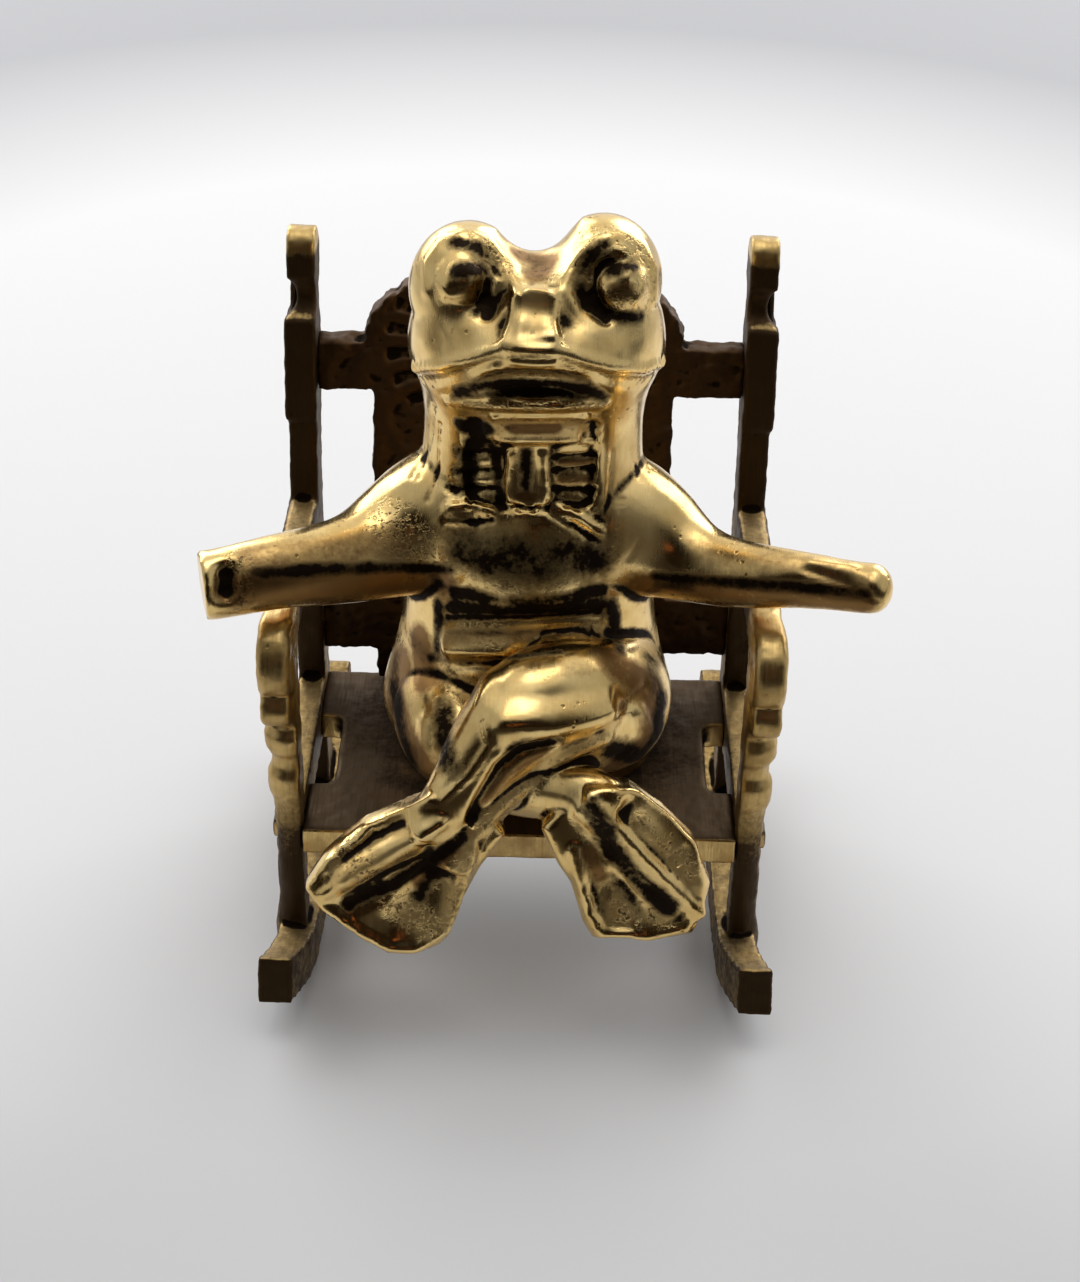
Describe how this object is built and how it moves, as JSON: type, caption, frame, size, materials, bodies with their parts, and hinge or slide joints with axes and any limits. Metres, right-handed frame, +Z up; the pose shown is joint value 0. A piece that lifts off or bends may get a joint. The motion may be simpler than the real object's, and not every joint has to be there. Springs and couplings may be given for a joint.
{
  "type": "frog figurine",
  "caption": "Cast brass frog figurine with crossed legs and outstretched arms, seated in a miniature cast brass rocking chair with a scalloped sunburst back.",
  "frame": {"origin": "on the surface that the part stands on, in the chair's middle plane, under the middle of the flats worn on the two rockers", "axes": "+Z up, -Y towards the front that the frog faces, +X to the right in a front view (the frog's left)"},
  "size_m": [0.0759, 0.0635, 0.0926],
  "materials": {
    "frog_brass": "polished, with dark oxide in the recesses",
    "frame_brass": "filed and darkened",
    "seat_brass": "tarnished",
    "panel_brass": "as cast, darkened"
  },
  "bodies": {
    "chair": {"side_frame_left": "frame_brass", "side_frame_right": "frame_brass", "seat": "seat_brass", "back_panel": "panel_brass"},
    "frog": {"frog": "frog_brass"}
  },
  "joints": [
    {"name": "frog_lift", "type": "slide", "parent": "chair", "child": "frog", "axis": [0, 0, 1], "range_m": [0, 0.1]}
  ]
}
